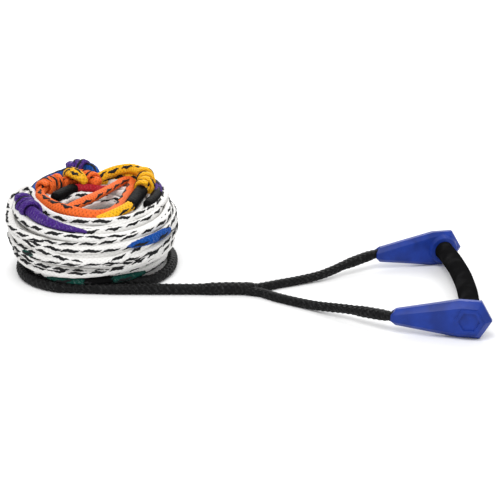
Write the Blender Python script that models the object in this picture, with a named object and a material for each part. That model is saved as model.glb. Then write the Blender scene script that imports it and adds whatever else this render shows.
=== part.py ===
"""Tow rope handle for water skiing: a grip between two end caps, its rope bridle, and the coiled tow line.

The handle lies on the floor with its grip along Y and the rope running away along -X to the coil.
The origin is on the floor under the middle of the handle. Metres, +Z up.
"""

import math

import bmesh
import bpy
import numpy as np
from mathutils import Vector

GAP = 0.0003  # air kept between pieces that touch

# Rings along a modelled cord, in cord diameters.
CLOSE_RINGS = 1.0
OPEN_RINGS = 1.4
WIDE_RINGS = 2.2
SLEEVE_SIDES = 16

# Handle: the two end caps sit on the ends of a bowed bar, and their mouths lean in towards the throat.
BAR_SPAN = 0.290  # between the middles of the two end caps
SPLAY = math.radians(11.0)
HINGE_OUT = 0.004  # the rope bends this far outside the mouth

# Bar.
TUBE_D = 0.0191
TUBE_WALL = 0.0016
TUBE_OUT = 0.0065  # the tube runs this far past the middle of the head
GRIP_D = 0.0290
FIT = 0.0004
PLUG_FLANGE = 0.0010
PLUG_STEM = 0.0080

# Rope.
EYE_ROPE_D = 0.0090
LEG_D = 0.0120
GRIP_IN = LEG_D / 2 + 0.0012  # the foam stops this far before the middle of the head
LEG_SPLICE_D = 0.0145
LEG_SPLICE_LONG = 0.046
STEM_D = 0.0145
THROAT_D = 0.0170

# End cap, measured from the middle of its hexagonal head.
HEAD_FLATS = 0.0546
RIDGE_WIDE = 0.0067
BOSS_FLATS = 0.0366
BOSS_OUT = 0.0138
BOSS_RAISED = 0.0011
POCKET_FLATS = 0.0257
POCKET_DEEP = 0.0030
SHOULDER_FLATS = 0.0440
SHOULDER_IN = 0.0090
CAP_REACH = 0.1083  # to the tip of the mouth
MOUTH_DROP = 0.0045
MOUTH_HIGH = LEG_D + 0.0115
MOUTH_WIDE = LEG_D + 0.0080
MOUTH_CHAMFER = 0.0068
LIP_HIGH = 0.0085
LIP_WIDE = LEG_D + 0.0052
CHEEK_HIGH = 0.0110
COLLAR_D = GRIP_D + 0.0120
COLLAR_FOOT_D = GRIP_D + 0.0190
COLLAR_FOOT_IN = 0.0070
COLLAR_IN = 0.0155
CAVITY_CLEAR = 0.0010  # round the rope's eye
CAVITY_D = TUBE_D + 2 * (EYE_ROPE_D + CAVITY_CLEAR)
CAVITY_IN = 0.0060
CAVITY_OUT = 0.0083
THROAT_HIGH_MOUTH = LEG_D + 0.0044
THROAT_HIGH_INNER = LEG_D + 0.0060
THROAT_SQUASH = 0.86

# Coil of the tow line, with one turn of the handle's rope round its foot.
COIL_MIDDLE = (-0.512, 0.135)
FOOT_OUTER_R = 0.126
FOOT_INNER_R = 0.096
COIL_FOOT_R = 0.112
COIL_BELLY_R = 0.131
COIL_TOP_R = 0.118
COIL_HOLE_R = 0.066
COIL_TOP = 0.098
BELLY_FROM = 0.046  # height at which the coil is widest
FOOT_TO = 0.030  # height up to which the coil keeps its foot radius
TOP_ROUND = 0.012
HOLE_ROUND = 0.006
SECTION_THICK = 0.0060
SECTION_EDGE = 0.0020
SECTION_STEP = 6  # degrees between the rings of a section that lies against the coil

BODY_Z = HEAD_FLATS / 2
HEAD_CORNER = HEAD_FLATS / math.sqrt(3)
MOUTH_BACK = CAP_REACH * math.cos(SPLAY) + MOUTH_WIDE / 2 * math.sin(SPLAY)
HEAD_FRONT = HEAD_CORNER * math.cos(SPLAY) + RIDGE_WIDE / 2 * math.sin(SPLAY)
BAR_X = (MOUTH_BACK - HEAD_FRONT) / 2
HINGE_REACH = CAP_REACH + HINGE_OUT
HINGE_X = BAR_X - HINGE_REACH * math.cos(SPLAY)
HINGE_Y = BAR_SPAN / 2 - HINGE_REACH * math.sin(SPLAY)
HINGE_Z = BODY_Z - MOUTH_DROP

COLOURS = {
    "moulded_blue": ((0.023, 0.063, 0.39), 0.42, 0.0),
    "black_foam": ((0.012, 0.012, 0.012), 0.9, 0.0),
    "bare_aluminium": ((0.80, 0.80, 0.80), 0.35, 1.0),
    "black_plug": ((0.02, 0.02, 0.02), 0.5, 0.0),
    "black_rope": ((0.010, 0.010, 0.010), 0.75, 0.0),
    "white_rope": ((0.83, 0.82, 0.79), 0.6, 0.0),
    "orange_rope": ((0.87, 0.16, 0.03), 0.55, 0.0),
    "yellow_rope": ((0.92, 0.50, 0.01), 0.55, 0.0),
    "purple_rope": ((0.080, 0.026, 0.30), 0.55, 0.0),
    "blue_rope": ((0.021, 0.13, 0.64), 0.55, 0.0),
    "green_rope": ((0.0, 0.114, 0.07), 0.55, 0.0),
    "red_rope": ((0.40, 0.007, 0.021), 0.55, 0.0),
    "black_sleeve": ((0.015, 0.015, 0.015), 0.4, 0.0),
}


def clear_scene():
    for old in list(bpy.data.objects):
        bpy.data.objects.remove(old, do_unlink=True)


def finish_of(name):
    """The material of this name, made the first time it is asked for."""
    made = bpy.data.materials.get(name)
    if made:
        return made
    colour, roughness, metallic = COLOURS[name]
    made = bpy.data.materials.new(name)
    made.use_nodes = True
    shader = made.node_tree.nodes["Principled BSDF"]
    shader.inputs["Base Color"].default_value = (*colour, 1.0)
    shader.inputs["Roughness"].default_value = roughness
    shader.inputs["Metallic"].default_value = metallic
    made.diffuse_color = (*colour, 1.0)
    return made


def place(obj, finish, at=(0, 0, 0), turn=0.0, parent=None):
    obj.data.materials.append(finish_of(finish))
    bpy.context.scene.collection.objects.link(obj)
    obj.rotation_euler = (0, 0, turn)
    obj.parent = parent
    obj.location = Vector(at) - (parent.location if parent else Vector())
    return obj


def solid(name, bm, finish, smooth=False, **where):
    """An object from a bmesh, faces out."""
    bmesh.ops.recalc_face_normals(bm, faces=bm.faces)
    mesh = bpy.data.meshes.new(name)
    bm.to_mesh(mesh)
    bm.free()
    if smooth:
        mesh.shade_smooth()
        mesh.set_sharp_from_angle(angle=math.radians(40))
    return place(bpy.data.objects.new(name, mesh), finish, **where)


def helper(name, bm, **where):
    """A solid that only adds to or cuts another one."""
    made = solid(name, bm, "black_plug", **where)
    made.hide_render = True
    made.display_type = "WIRE"
    return made


def combine(obj, other, operation):
    step = obj.modifiers.new(other.name, "BOOLEAN")
    step.object = other
    step.operation = operation
    step.solver = "EXACT"


def hull(points):
    bm = bmesh.new()
    for point in points:
        bm.verts.new(point)
    made = bmesh.ops.convex_hull(bm, input=bm.verts)
    inside = {item for item in made["geom_interior"] if isinstance(item, bmesh.types.BMVert)}
    bmesh.ops.delete(bm, geom=list(inside), context="VERTS")
    flat = math.radians(0.5)
    bmesh.ops.dissolve_limit(bm, angle_limit=flat, verts=bm.verts, edges=bm.edges)
    return bm


def turned(profile, segments, axis=(0, 0, 1), closed=False):
    """A profile of (radius, height) points turned round an axis; closed for a ring."""
    bm = bmesh.new()
    stand = Vector((0, 0, 1)).rotation_difference(Vector(axis)).to_matrix().to_4x4()
    rows = []
    for radius, height in profile:
        if radius == 0:
            rows.append([bm.verts.new(stand @ Vector((0, 0, height)))] * segments)
            continue
        turns = [2 * math.pi * step / segments for step in range(segments)]
        rows.append([bm.verts.new(stand @ Vector((radius * math.cos(a), radius * math.sin(a), height)))
                     for a in turns])
    for low, high in zip(rows, rows[1:] + rows[:1] if closed else rows[1:]):
        for step in range(segments):
            after = (step + 1) % segments
            corners = [low[step], low[after], high[after], high[step]]
            bm.faces.new(list(dict.fromkeys(corners)))
    return bm


def hexagon(flats, height):
    """Six corners in the XZ plane at this Y, with a corner along X."""
    reach = flats / math.sqrt(3)
    turns = [math.radians(60 * step) for step in range(6)]
    return [(reach * math.cos(a), height, reach * math.sin(a)) for a in turns]


def arc_profile(middle, radius, first, last, steps):
    """Points of a round corner, as (radius, height) for turned()."""
    turns = [math.radians(first + (last - first) * step / steps) for step in range(steps + 1)]
    return [(middle[0] + radius * math.cos(a), middle[1] + radius * math.sin(a)) for a in turns]


def smooth_route(route, spacing):
    """Points at an even spacing along one smooth curve through the route's points."""
    points = np.array(route, float)
    ends = np.vstack([2 * points[0] - points[1], points, 2 * points[-1] - points[-2]])
    fine = []
    for index in range(1, len(ends) - 2):
        a, b, c, d = ends[index - 1 : index + 3]
        for t in np.arange(0, 1, 1 / 24):
            fine.append(0.5 * (2 * b + (c - a) * t + (2 * a - 5 * b + 4 * c - d) * t**2
                               + (3 * b - a - 3 * c + d) * t**3))
    fine = np.array(fine + [points[-1]])
    along = np.concatenate([[0], np.cumsum(np.linalg.norm(np.diff(fine, axis=0), axis=1))])
    count = max(3, round(along[-1] / spacing) + 1)
    wanted = np.linspace(0, along[-1], count)
    return np.stack([np.interp(wanted, along, fine[:, axis]) for axis in range(3)], axis=1)


def cord(name, route, diameter, finish, spacing=WIDE_RINGS, taper=None, **where):
    """A plain round cord with capped ends; taper gives each point's share of the diameter."""
    points = smooth_route(route, spacing * diameter)
    curve = bpy.data.curves.new(name, "CURVE")
    curve.dimensions = "3D"
    curve.bevel_depth = diameter / 2
    curve.bevel_resolution = 2
    curve.use_fill_caps = True
    line = curve.splines.new("POLY")
    line.points.add(len(points) - 1)
    for index, point in enumerate(points):
        line.points[index].co = (*point, 1)
        line.points[index].radius = taper(index / (len(points) - 1)) if taper else 1
    return place(bpy.data.objects.new(name, curve), finish, **where)


def pipe(points, outer, inner, sides):
    """A round pipe along nearly level points, open at both ends."""
    bm = bmesh.new()
    points = [Vector(point) for point in points]
    rings = []
    for index, point in enumerate(points):
        ahead = points[min(index + 1, len(points) - 1)] - points[max(index - 1, 0)]
        across = ahead.normalized().cross(Vector((0, 0, 1))).normalized()
        up = across.cross(ahead.normalized())
        turns = [2 * math.pi * step / sides for step in range(sides)]
        for radius in (outer, inner):
            rings.append([bm.verts.new(point + radius * (across * math.cos(a) + up * math.sin(a)))
                          for a in turns])
    skins = [rings[0::2], rings[1::2]]
    loops = skins[0] + skins[1][::-1]
    for low, high in zip(loops, loops[1:] + loops[:1]):
        for step in range(sides):
            after = (step + 1) % sides
            bm.faces.new([low[step], low[after], high[after], high[step]])
    return bm


def bar_line(first, last, count):
    """Points on the bowed bar's middle line, by the distance along it from the middle of the bar."""
    radius = BAR_SPAN / 2 / math.sin(SPLAY)
    half = radius * SPLAY
    points = []
    for step in range(count):
        s = first + (last - first) * step / (count - 1)
        turn = max(-SPLAY, min(SPLAY, s / radius))
        past = s - math.copysign(half, s) if abs(s) > half else 0.0
        x = BAR_X - radius * (math.cos(SPLAY) - math.cos(turn)) - abs(past) * math.sin(SPLAY)
        y = radius * math.sin(turn) + past * math.cos(SPLAY)
        points.append((x, y, BODY_Z))
    return points


def bar_half():
    """Distance along the bar from its middle to the middle of an end cap's head."""
    return BAR_SPAN / 2 / math.sin(SPLAY) * SPLAY


def cap_place(side):
    """Where an end cap's head stands, and how it is turned. side is 1 at the rear, -1 at the front."""
    return {"at": (BAR_X, side * BAR_SPAN / 2, BODY_Z), "turn": side * SPLAY}


def mouth_line():
    """From the middle of the head to the hinge point outside the mouth, in the cap's own frame."""
    return Vector((-HINGE_REACH, 0, -MOUTH_DROP))


def cap_shell(side):
    """The faceted outer form: a six-sided head that tapers to the mouth, in the cap's own frame."""
    corner, half = HEAD_CORNER, HEAD_FLATS / 2
    drop, high = -MOUTH_DROP, MOUTH_HIGH / 2
    shoulder = CAP_REACH - MOUTH_CHAMFER
    ridge = [(corner, 0), (corner / 2, half), (-corner / 2, half), (-shoulder, drop + high)]
    ridge += [(-shoulder, drop - high), (-corner / 2, -half), (corner / 2, -half)]
    points = [(x, y, z) for x, z in ridge for y in (-RIDGE_WIDE / 2, RIDGE_WIDE / 2)]
    for y in (-1, 1):
        for z in (-1, 1):
            points.append((-shoulder, y * MOUTH_WIDE / 2, drop + z * CHEEK_HIGH / 2))
            points.append((-CAP_REACH, y * LIP_WIDE / 2, drop + z * LIP_HIGH / 2))
    points += hexagon(BOSS_FLATS + 2 * BOSS_RAISED, side * (BOSS_OUT - BOSS_RAISED))
    points += hexagon(SHOULDER_FLATS, -side * SHOULDER_IN)
    return hull(points)


def make_cap(name, side, hinge):
    """A hollow moulded end cap with a six-sided pocket outside and a round collar for the grip inside."""
    where = {**cap_place(side), "parent": hinge}
    cap = solid(name, cap_shell(side), "moulded_blue", **where)
    inward = (0, -side, 0)

    foot = [(0, 0), (COLLAR_FOOT_D / 2, 0), (COLLAR_FOOT_D / 2, COLLAR_FOOT_IN)]
    collar = turned(foot + [(COLLAR_D / 2, COLLAR_IN), (0, COLLAR_IN)], 40, inward)
    combine(cap, helper(f"{name}_collar", collar, **where), "UNION")

    foot = hexagon(BOSS_FLATS + BOSS_RAISED, 0)
    boss = hull(foot + hexagon(BOSS_FLATS, side * BOSS_OUT))
    combine(cap, helper(f"{name}_boss", boss, **where), "UNION")

    floor = side * (BOSS_OUT - POCKET_DEEP)
    pocket = hull(hexagon(POCKET_FLATS, floor) + hexagon(POCKET_FLATS, side * 2 * BOSS_OUT))
    combine(cap, helper(f"{name}_pocket", pocket, **where), "DIFFERENCE")

    bore = GRIP_D / 2 + FIT
    hollow = [(0, -CAVITY_OUT), (CAVITY_D / 2, -CAVITY_OUT), (CAVITY_D / 2, CAVITY_IN)]
    hollow += [(bore, CAVITY_IN), (bore, 2 * COLLAR_IN), (0, 2 * COLLAR_IN)]
    combine(cap, helper(f"{name}_hollow", turned(hollow, 40, inward), **where), "DIFFERENCE")

    line = mouth_line()
    rope_way = turned(
        [(0, GRIP_D / 2), (THROAT_HIGH_INNER / 2, GRIP_D / 2),
         (THROAT_HIGH_MOUTH / 2, line.length), (0, line.length)], 28, line)
    bmesh.ops.scale(rope_way, vec=(1, THROAT_SQUASH, 1), verts=rope_way.verts)
    combine(cap, helper(f"{name}_rope_way", rope_way, **where), "DIFFERENCE")


def make_bar(hinge):
    half = bar_half()
    tube = pipe(bar_line(-half - TUBE_OUT, half + TUBE_OUT, 15), TUBE_D / 2, TUBE_D / 2 - TUBE_WALL, 20)
    solid("core_tube", tube, "bare_aluminium", smooth=True, parent=hinge)
    foam = pipe(bar_line(-half + GRIP_IN, half - GRIP_IN, 13), GRIP_D / 2, TUBE_D / 2 + GAP, 24)
    solid("foam_grip", foam, "black_foam", smooth=True, parent=hinge)


def make_plug(name, side, hinge):
    """A push-in plug that closes the tube's end: a stem with a flange."""
    stem = TUBE_D / 2 - TUBE_WALL - GAP
    start = TUBE_OUT - PLUG_STEM
    face = TUBE_OUT + GAP
    profile = [(0, start), (stem, start), (stem, face), (TUBE_D / 2, face)]
    profile += [(TUBE_D / 2, face + PLUG_FLANGE), (0, face + PLUG_FLANGE)]
    plug = turned(profile, 24, (0, side, 0))
    solid(name, plug, "black_plug", smooth=True, **cap_place(side), parent=hinge)


def make_bar_eye(name, side, hinge):
    """The rope's eye round the tube inside a cap, with the tail that comes out at the mouth."""
    where = {**cap_place(side), "parent": hinge}
    rope = EYE_ROPE_D / 2
    ring_r = TUBE_D / 2 + GAP + rope
    ring = turned(arc_profile((ring_r, 0), rope, 0, 330, 11), 28, (0, side, 0), closed=True)
    eye = solid(name, ring, "black_rope", smooth=True, **where)
    line = mouth_line()
    end = line.length
    tail = [(0, ring_r), (LEG_D / 2, ring_r)]
    tail += [(r, h) for r, h in arc_profile((0, end), LEG_D / 2, 0, 90, 4)][:-1] + [(0, end + LEG_D / 2)]
    combine(eye, helper(f"{name}_tail", turned(tail, 14, line), **where), "UNION")


# The two legs run from the throat to the mouths of the caps: x, y and how far the leg is off the floor.
LEG_ROUTES = {
    "front": [(-0.247, 0.0035, 0.0), (-0.235, -0.006, 0.0), (-0.222, -0.0165, 0.0),
              (-0.192, -0.036, 0.0004), (-0.167, -0.053, 0.0023), (-0.143, -0.071, 0.0068),
              (-0.120, -0.088, 0.0108)],
    "rear": [(-0.247, 0.0275, 0.0), (-0.234, 0.034, 0.0), (-0.220, 0.0412, 0.0),
             (-0.189, 0.0555, 0.0004), (-0.160, 0.069, 0.0023), (-0.137, 0.083, 0.0058),
             (-0.118, 0.0955, 0.0098)],
}
LEG_START_X = -0.2625
LEG_SPREAD_X = -0.2550
LEG_SPREAD = 0.0020  # each leg has swung this far outwards at LEG_SPREAD_X
THROAT_FROM_X = -0.3320
THROAT_TO_X = -0.2648
STEM_Y = 0.0158

# Take-off sections of the tow line that lie on the coil: name, finish, diameter and route. The route's
# points are measured from the middle of the coil's top.
SECTIONS = [
    ("orange_splice", "orange_rope", 0.019,
     [(-0.026, -0.041, 0.0105), (-0.043, -0.032, 0.0105), (-0.061, -0.016, 0.012), (-0.076, 0.006, 0.013),
      (-0.086, 0.028, 0.015)]),
    ("orange_eye", "orange_rope", 0.013,
     [(-0.017, -0.051, 0.008), (-0.005, -0.058, 0.008), (0.016, -0.061, 0.008), (0.035, -0.045, 0.008),
      (0.049, -0.014, 0.008), (0.055, 0.028, 0.008), (0.054, 0.065, 0.008), (0.046, 0.091, 0.008),
      (0.032, 0.094, 0.008), (0.016, 0.068, 0.008), (0.001, 0.035, 0.008), (-0.013, 0.003, 0.008),
      (-0.021, -0.016, 0.008)]),
    ("orange_neck_wrap", "orange_rope", 0.026,
     [(-0.085, 0.044, 0.016), (-0.078, 0.065, 0.017), (-0.068, 0.085, 0.016)]),
    ("orange_link", "orange_rope", 0.013,
     [(-0.063, 0.095, 0.011), (-0.054, 0.105, 0.010), (-0.044, 0.113, 0.010)]),
    ("orange_back_wrap", "orange_rope", 0.024,
     [(-0.034, 0.121, 0.014), (-0.021, 0.105, 0.016), (-0.007, 0.089, 0.015)]),
    ("yellow_cross_strand", "yellow_rope", 0.013,
     [(-0.053, 0.105, 0.0255), (-0.043, 0.092, 0.028), (-0.033, 0.079, 0.027), (-0.021, 0.069, 0.021)]),
    ("yellow_upper_strand", "yellow_rope", 0.013,
     [(0.006, 0.103, 0.017), (0.017, 0.113, 0.022), (0.032, 0.122, 0.0245), (0.049, 0.122, 0.026),
      (0.066, 0.107, 0.026), (0.076, 0.081, 0.024), (0.081, 0.059, 0.021)]),
    ("yellow_lower_strand", "yellow_rope", 0.013,
     [(0.010, 0.121, 0.008), (0.024, 0.127, 0.008), (0.038, 0.127, 0.008), (0.053, 0.119, 0.008)]),
    ("yellow_wrap", "yellow_rope", 0.019,
     [(0.082, 0.0555, 0.019), (0.081, 0.045, 0.0185), (0.077, 0.034, 0.018)]),
    ("yellow_tail", "yellow_rope", 0.016,
     [(0.061, -0.033, 0.012), (0.049, -0.049, 0.0095), (0.035, -0.064, 0.007), (0.020, -0.076, 0.005)]),
    ("purple_right_strand", "purple_rope", 0.013,
     [(0.072, 0.115, 0.008), (0.087, 0.094, 0.008), (0.0965, 0.070, 0.008), (0.0995, 0.039, 0.008)]),
    ("purple_back_wrap", "purple_rope", 0.018,
     [(-0.055, 0.123, 0.031), (-0.040, 0.131, 0.033), (-0.024, 0.123, 0.0365)]),
    ("purple_left_wrap", "purple_rope", 0.025,
     [(-0.114, 0.003, 0.013), (-0.102, -0.025, 0.013), (-0.088, -0.049, 0.013)]),
    ("purple_left_tail", "purple_rope", 0.015,
     [(-0.0855, -0.0525, 0.009), (-0.071, -0.073, 0.008), (-0.051, -0.088, 0.007), (-0.029, -0.099, 0.006),
      (-0.005, -0.104, 0.005)]),
    ("blue_back_strand", "blue_rope", 0.012,
     [(-0.100, 0.061, 0.010), (-0.095, 0.083, 0.012), (-0.084, 0.101, 0.014), (-0.072, 0.114, 0.015),
      (-0.058, 0.124, 0.015), (-0.044, 0.1315, 0.015)]),
    ("blue_back_end", "blue_rope", 0.012,
     [(-0.015, 0.126, 0.027), (-0.010, 0.121, 0.0235), (-0.0055, 0.1145, 0.019)]),
    ("red_inner_strand", "red_rope", 0.012,
     [(-0.0375, 0.0675, 0.008), (-0.027, 0.075, 0.007), (-0.013, 0.0758, 0.007), (0.0, 0.0715, 0.007)]),
]
TAPERED = {"yellow_tail", "purple_left_tail"}
TAPER = 0.62  # share of its thickness that a tapered tail loses

# Sleeves shrunk over the line: the line's name, its finish, the line's and the sleeve's diameters, and
# the route, measured in the same way.
SLEEVES = [
    ("yellow", "yellow_rope", 0.016, 0.020,
     [(0.0755, 0.031, 0.018), (0.069, 0.003, 0.015), (0.0625, -0.029, 0.0125)]),
    ("purple", "purple_rope", 0.012, 0.015,
     [(0.0995, 0.035, 0.008), (0.096, 0.012, 0.008), (0.088, -0.014, 0.008)]),
    ("red", "red_rope", 0.014, 0.017,
     [(-0.061, 0.022, 0.009), (-0.053, 0.043, 0.009), (-0.042, 0.062, 0.009)]),
]

# Sections against the outside of the coil: name, finish, first and last angle in degrees, middle height
# and height.
BELLY_SECTIONS = [
    ("blue_side_section", "blue_rope", -64, -20, 0.077, 0.013),
    ("green_side_section", "green_rope", -146, -119, 0.055, 0.012),
]
FOOT_SECTIONS = [
    ("green_foot_section", "green_rope", -128, -91, 0.0215, 0.012),
    ("green_foot_tag_sleeve", "black_sleeve", -90, -72, 0.0215, 0.0125),
    ("green_foot_end", "green_rope", -71, -44, 0.0215, 0.012),
]


def leg_route(side_name, side):
    """A leg's whole route, to just short of the hinge point at the cap's mouth."""
    hinge = Vector((HINGE_X, side * HINGE_Y, HINGE_Z))
    low = LEG_D / 2 + GAP
    beside = STEM_Y + side * low
    route = [Vector((LEG_START_X, beside, low)), Vector((LEG_SPREAD_X, beside + side * LEG_SPREAD, low))]
    route += [Vector((x, y, low + lift)) for x, y, lift in LEG_ROUTES[side_name]]
    back = (route[-1] - hinge).normalized()
    near = hinge + back * (LEG_SPLICE_D / 2 + 2 * GAP)
    return route + [near.lerp(route[-1], 0.45), near]


def split_route(route, last_part):
    """The route's points in two runs, the second one last_part long, with a gap between them."""
    points = smooth_route(route, 0.002)
    along = np.concatenate([[0], np.cumsum(np.linalg.norm(np.diff(points, axis=0), axis=1))])
    cut = along[-1] - last_part
    first = [tuple(p) for p, s in zip(points, along) if s <= cut - 2 * GAP]
    last = [tuple(p) for p, s in zip(points, along) if s >= cut]
    return first[::6] + first[-1:], last[::4] + last[-1:]


def straight_run(start, end, diameter):
    """A straight route along the floor from one x to another."""
    return [(start + (end - start) * step / 4, STEM_Y, diameter / 2 + GAP) for step in range(5)]


def make_bridle():
    for side_name, side in (("front", -1), ("rear", 1)):
        leg, splice = split_route(leg_route(side_name, side), LEG_SPLICE_LONG)
        cord(f"bridle_leg_{side_name}", leg, LEG_D, "black_rope")
        cord(f"leg_splice_{side_name}", splice, LEG_SPLICE_D, "black_rope", spacing=CLOSE_RINGS)
    throat = straight_run(THROAT_FROM_X, THROAT_TO_X, THROAT_D)
    cord("throat_splice", throat, THROAT_D, "black_rope")
    depth = COIL_MIDDLE[1] - STEM_Y - STEM_D / 2
    reach = math.sqrt((FOOT_OUTER_R + GAP) ** 2 - depth**2)
    near_coil = COIL_MIDDLE[0] + reach + 2 * GAP
    cord("handle_stem", straight_run(THROAT_FROM_X - GAP, near_coil, STEM_D), STEM_D, "black_rope")


def ring_at_coil(name, profile, finish, segments=48):
    solid(name, turned(profile, segments, closed=True), finish, smooth=True, at=(*COIL_MIDDLE, 0))


def make_coil():
    """The handle rope's turn at the foot, and the wound tow line on top of it."""
    high = STEM_D
    corner = high / 2
    foot = arc_profile((FOOT_OUTER_R - corner, corner), corner, -90, 90, 6)
    foot += arc_profile((FOOT_INNER_R + corner, corner), corner, 90, 270, 6)
    ring_at_coil("foot_turn", foot, "black_rope")
    base = high + GAP
    outer = [(COIL_FOOT_R - HOLE_ROUND, base), (COIL_FOOT_R, base + HOLE_ROUND), (COIL_FOOT_R, FOOT_TO)]
    belly = COIL_BELLY_R - SECTION_THICK
    outer += [(belly, BELLY_FROM), (belly, COIL_TOP - TOP_ROUND), (COIL_TOP_R, COIL_TOP)]
    inner = [(COIL_HOLE_R + HOLE_ROUND, COIL_TOP), (COIL_HOLE_R, COIL_TOP - HOLE_ROUND)]
    inner += [(COIL_HOLE_R, base + HOLE_ROUND), (COIL_HOLE_R + HOLE_ROUND, base)]
    ring_at_coil("mainline_coil", outer + inner, "white_rope")


def make_arc_section(name, finish, first, last, middle, high, inner_r):
    """A stretch of line that lies against the coil's outside, as a bent flat strip."""
    outer_r = inner_r + SECTION_THICK
    bm = bmesh.new()
    count = max(4, round(abs(last - first) / SECTION_STEP))
    rings = []
    for step in range(count + 1):
        turn = math.radians(first + (last - first) * step / count)
        edge_r = outer_r - SECTION_EDGE
        corners = [(inner_r, -high / 2), (edge_r, -high / 2), (outer_r, -high / 4),
                   (outer_r, high / 4), (edge_r, high / 2), (inner_r, high / 2)]
        rings.append([bm.verts.new((r * math.cos(turn), r * math.sin(turn), middle + z)) for r, z in corners])
    for low, up in zip(rings, rings[1:]):
        for index in range(len(low)):
            after = (index + 1) % len(low)
            bm.faces.new([low[index], low[after], up[after], up[index]])
    bm.faces.new(rings[0])
    bm.faces.new(rings[-1])
    solid(name, bm, finish, at=(*COIL_MIDDLE, 0))


def on_coil(route):
    """A route measured from the middle of the coil's top, in the frame of the handle."""
    return [(COIL_MIDDLE[0] + x, COIL_MIDDLE[1] + y, COIL_TOP + z) for x, y, z in route]


def make_sections():
    for name, finish, diameter, route in SECTIONS:
        taper = (lambda share: 1 - TAPER * share) if name in TAPERED else None
        spacing = CLOSE_RINGS if len(route) < 5 else OPEN_RINGS
        cord(name, on_coil(route), diameter, finish, spacing=spacing, taper=taper)
    for name, finish, line_d, sleeve_d, route in SLEEVES:
        points = smooth_route(on_coil(route), line_d)
        sleeve = pipe(points, sleeve_d / 2, line_d / 2, SLEEVE_SIDES)
        solid(f"{name}_tag_sleeve", sleeve, "black_sleeve", smooth=True)
        cord(f"{name}_line_in_sleeve", on_coil(route), line_d - 2 * GAP, finish, spacing=CLOSE_RINGS)
    belly = COIL_BELLY_R - SECTION_THICK + 2 * GAP
    for section in BELLY_SECTIONS:
        make_arc_section(*section, belly)
    for section in FOOT_SECTIONS:
        make_arc_section(*section, COIL_FOOT_R + 2 * GAP)


def main():
    clear_scene()
    hinge = bpy.data.objects.new("handle_hinge", None)
    hinge.location = (HINGE_X, 0, HINGE_Z)
    bpy.context.scene.collection.objects.link(hinge)
    for side_name, side in (("front", -1), ("rear", 1)):
        make_cap(f"end_cap_{side_name}", side, hinge)
        make_plug(f"tube_plug_{side_name}", side, hinge)
        make_bar_eye(f"bar_eye_{side_name}", side, hinge)
    make_bar(hinge)
    make_bridle()
    make_coil()
    make_sections()


main()
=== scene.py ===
"""Tow rope handle: moulded caps, foam grip and plaited bridle, with the tow line wound up behind it.

Each cord is a plaited tube swept along its own route, which keeps close to the solid model's.
"""

import math
import random

import bmesh
import bpy
import numpy as np
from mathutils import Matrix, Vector


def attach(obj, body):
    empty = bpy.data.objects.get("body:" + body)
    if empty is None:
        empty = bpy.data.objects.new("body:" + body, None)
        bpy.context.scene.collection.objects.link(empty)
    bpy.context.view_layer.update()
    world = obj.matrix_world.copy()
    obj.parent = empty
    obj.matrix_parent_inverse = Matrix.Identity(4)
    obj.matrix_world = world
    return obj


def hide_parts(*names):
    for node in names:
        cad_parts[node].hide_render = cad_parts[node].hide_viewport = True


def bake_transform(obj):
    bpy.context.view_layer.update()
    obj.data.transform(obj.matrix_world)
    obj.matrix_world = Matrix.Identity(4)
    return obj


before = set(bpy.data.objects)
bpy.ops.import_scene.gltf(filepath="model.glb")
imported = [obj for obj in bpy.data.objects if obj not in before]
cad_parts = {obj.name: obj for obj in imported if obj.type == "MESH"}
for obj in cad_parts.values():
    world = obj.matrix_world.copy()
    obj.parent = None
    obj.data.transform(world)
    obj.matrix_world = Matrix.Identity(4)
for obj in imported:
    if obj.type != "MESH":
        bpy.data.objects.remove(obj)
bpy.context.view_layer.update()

ROPE = "rope"
HANDLE = "handle"

# Handle, as in the solid model.
BAR_SPAN = 0.290
SPLAY = math.radians(11.0)
CAP_REACH = 0.1083
HINGE_OUT = 0.004
MOUTH_DROP = 0.0045
BAR_X = 0.0383
BODY_Z = 0.0273
GRIP_D = 0.0290
TUBE_D = 0.0191
GRIP_IN = 0.0072
HINGE_REACH = CAP_REACH + HINGE_OUT
HINGE_X = BAR_X - HINGE_REACH * math.cos(SPLAY)
HINGE_Y = BAR_SPAN / 2 - HINGE_REACH * math.sin(SPLAY)
HINGE_Z = BODY_Z - MOUTH_DROP

# Black handle rope.
LEG_D = 0.0120
LEG_SPLICE_D = 0.0145
LEG_SPLICE_LONG = 0.046
STEM_D = 0.0145
THROAT_D = 0.0170
STEM_Y = 0.0158
PLAIT_RELIEF = 0.0011
SWING_LONG = 0.95  # the dark strand wanders round the line once in this length

# Coil of the tow line.
COIL_X, COIL_Y = -0.512, 0.135
COIL_TOP = 0.098
FOOT_RING_R = 0.1188
INNER_RING_R = 0.1035
LINE_HIGH = 0.0124  # the line lies flattened, its wide side against the coil
LINE_THICK = 0.0108
ROW_UP = 0.0095
ROWS = 9
LAYERS = 4
LAYER_IN = 0.0125
FIRST_ROW_Z = 0.0208
STEP_FROM = 0.84  # share of a turn after which the line steps over to the next turn
COIL_TILT = 0.0042
LINE_UNEVEN = 0.035
LINE_SQUARENESS = 0.85  # 1 is an oval section, less is squarer
SIDES_UP = 0.0024
FOOT_SHIFT = 0.0045
FOOT_SQUARE = 2.25  # 2 is a round foot turn, more is squarer

BACK = math.pi / 2


# ---------------------------------------------------------------- shading


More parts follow.
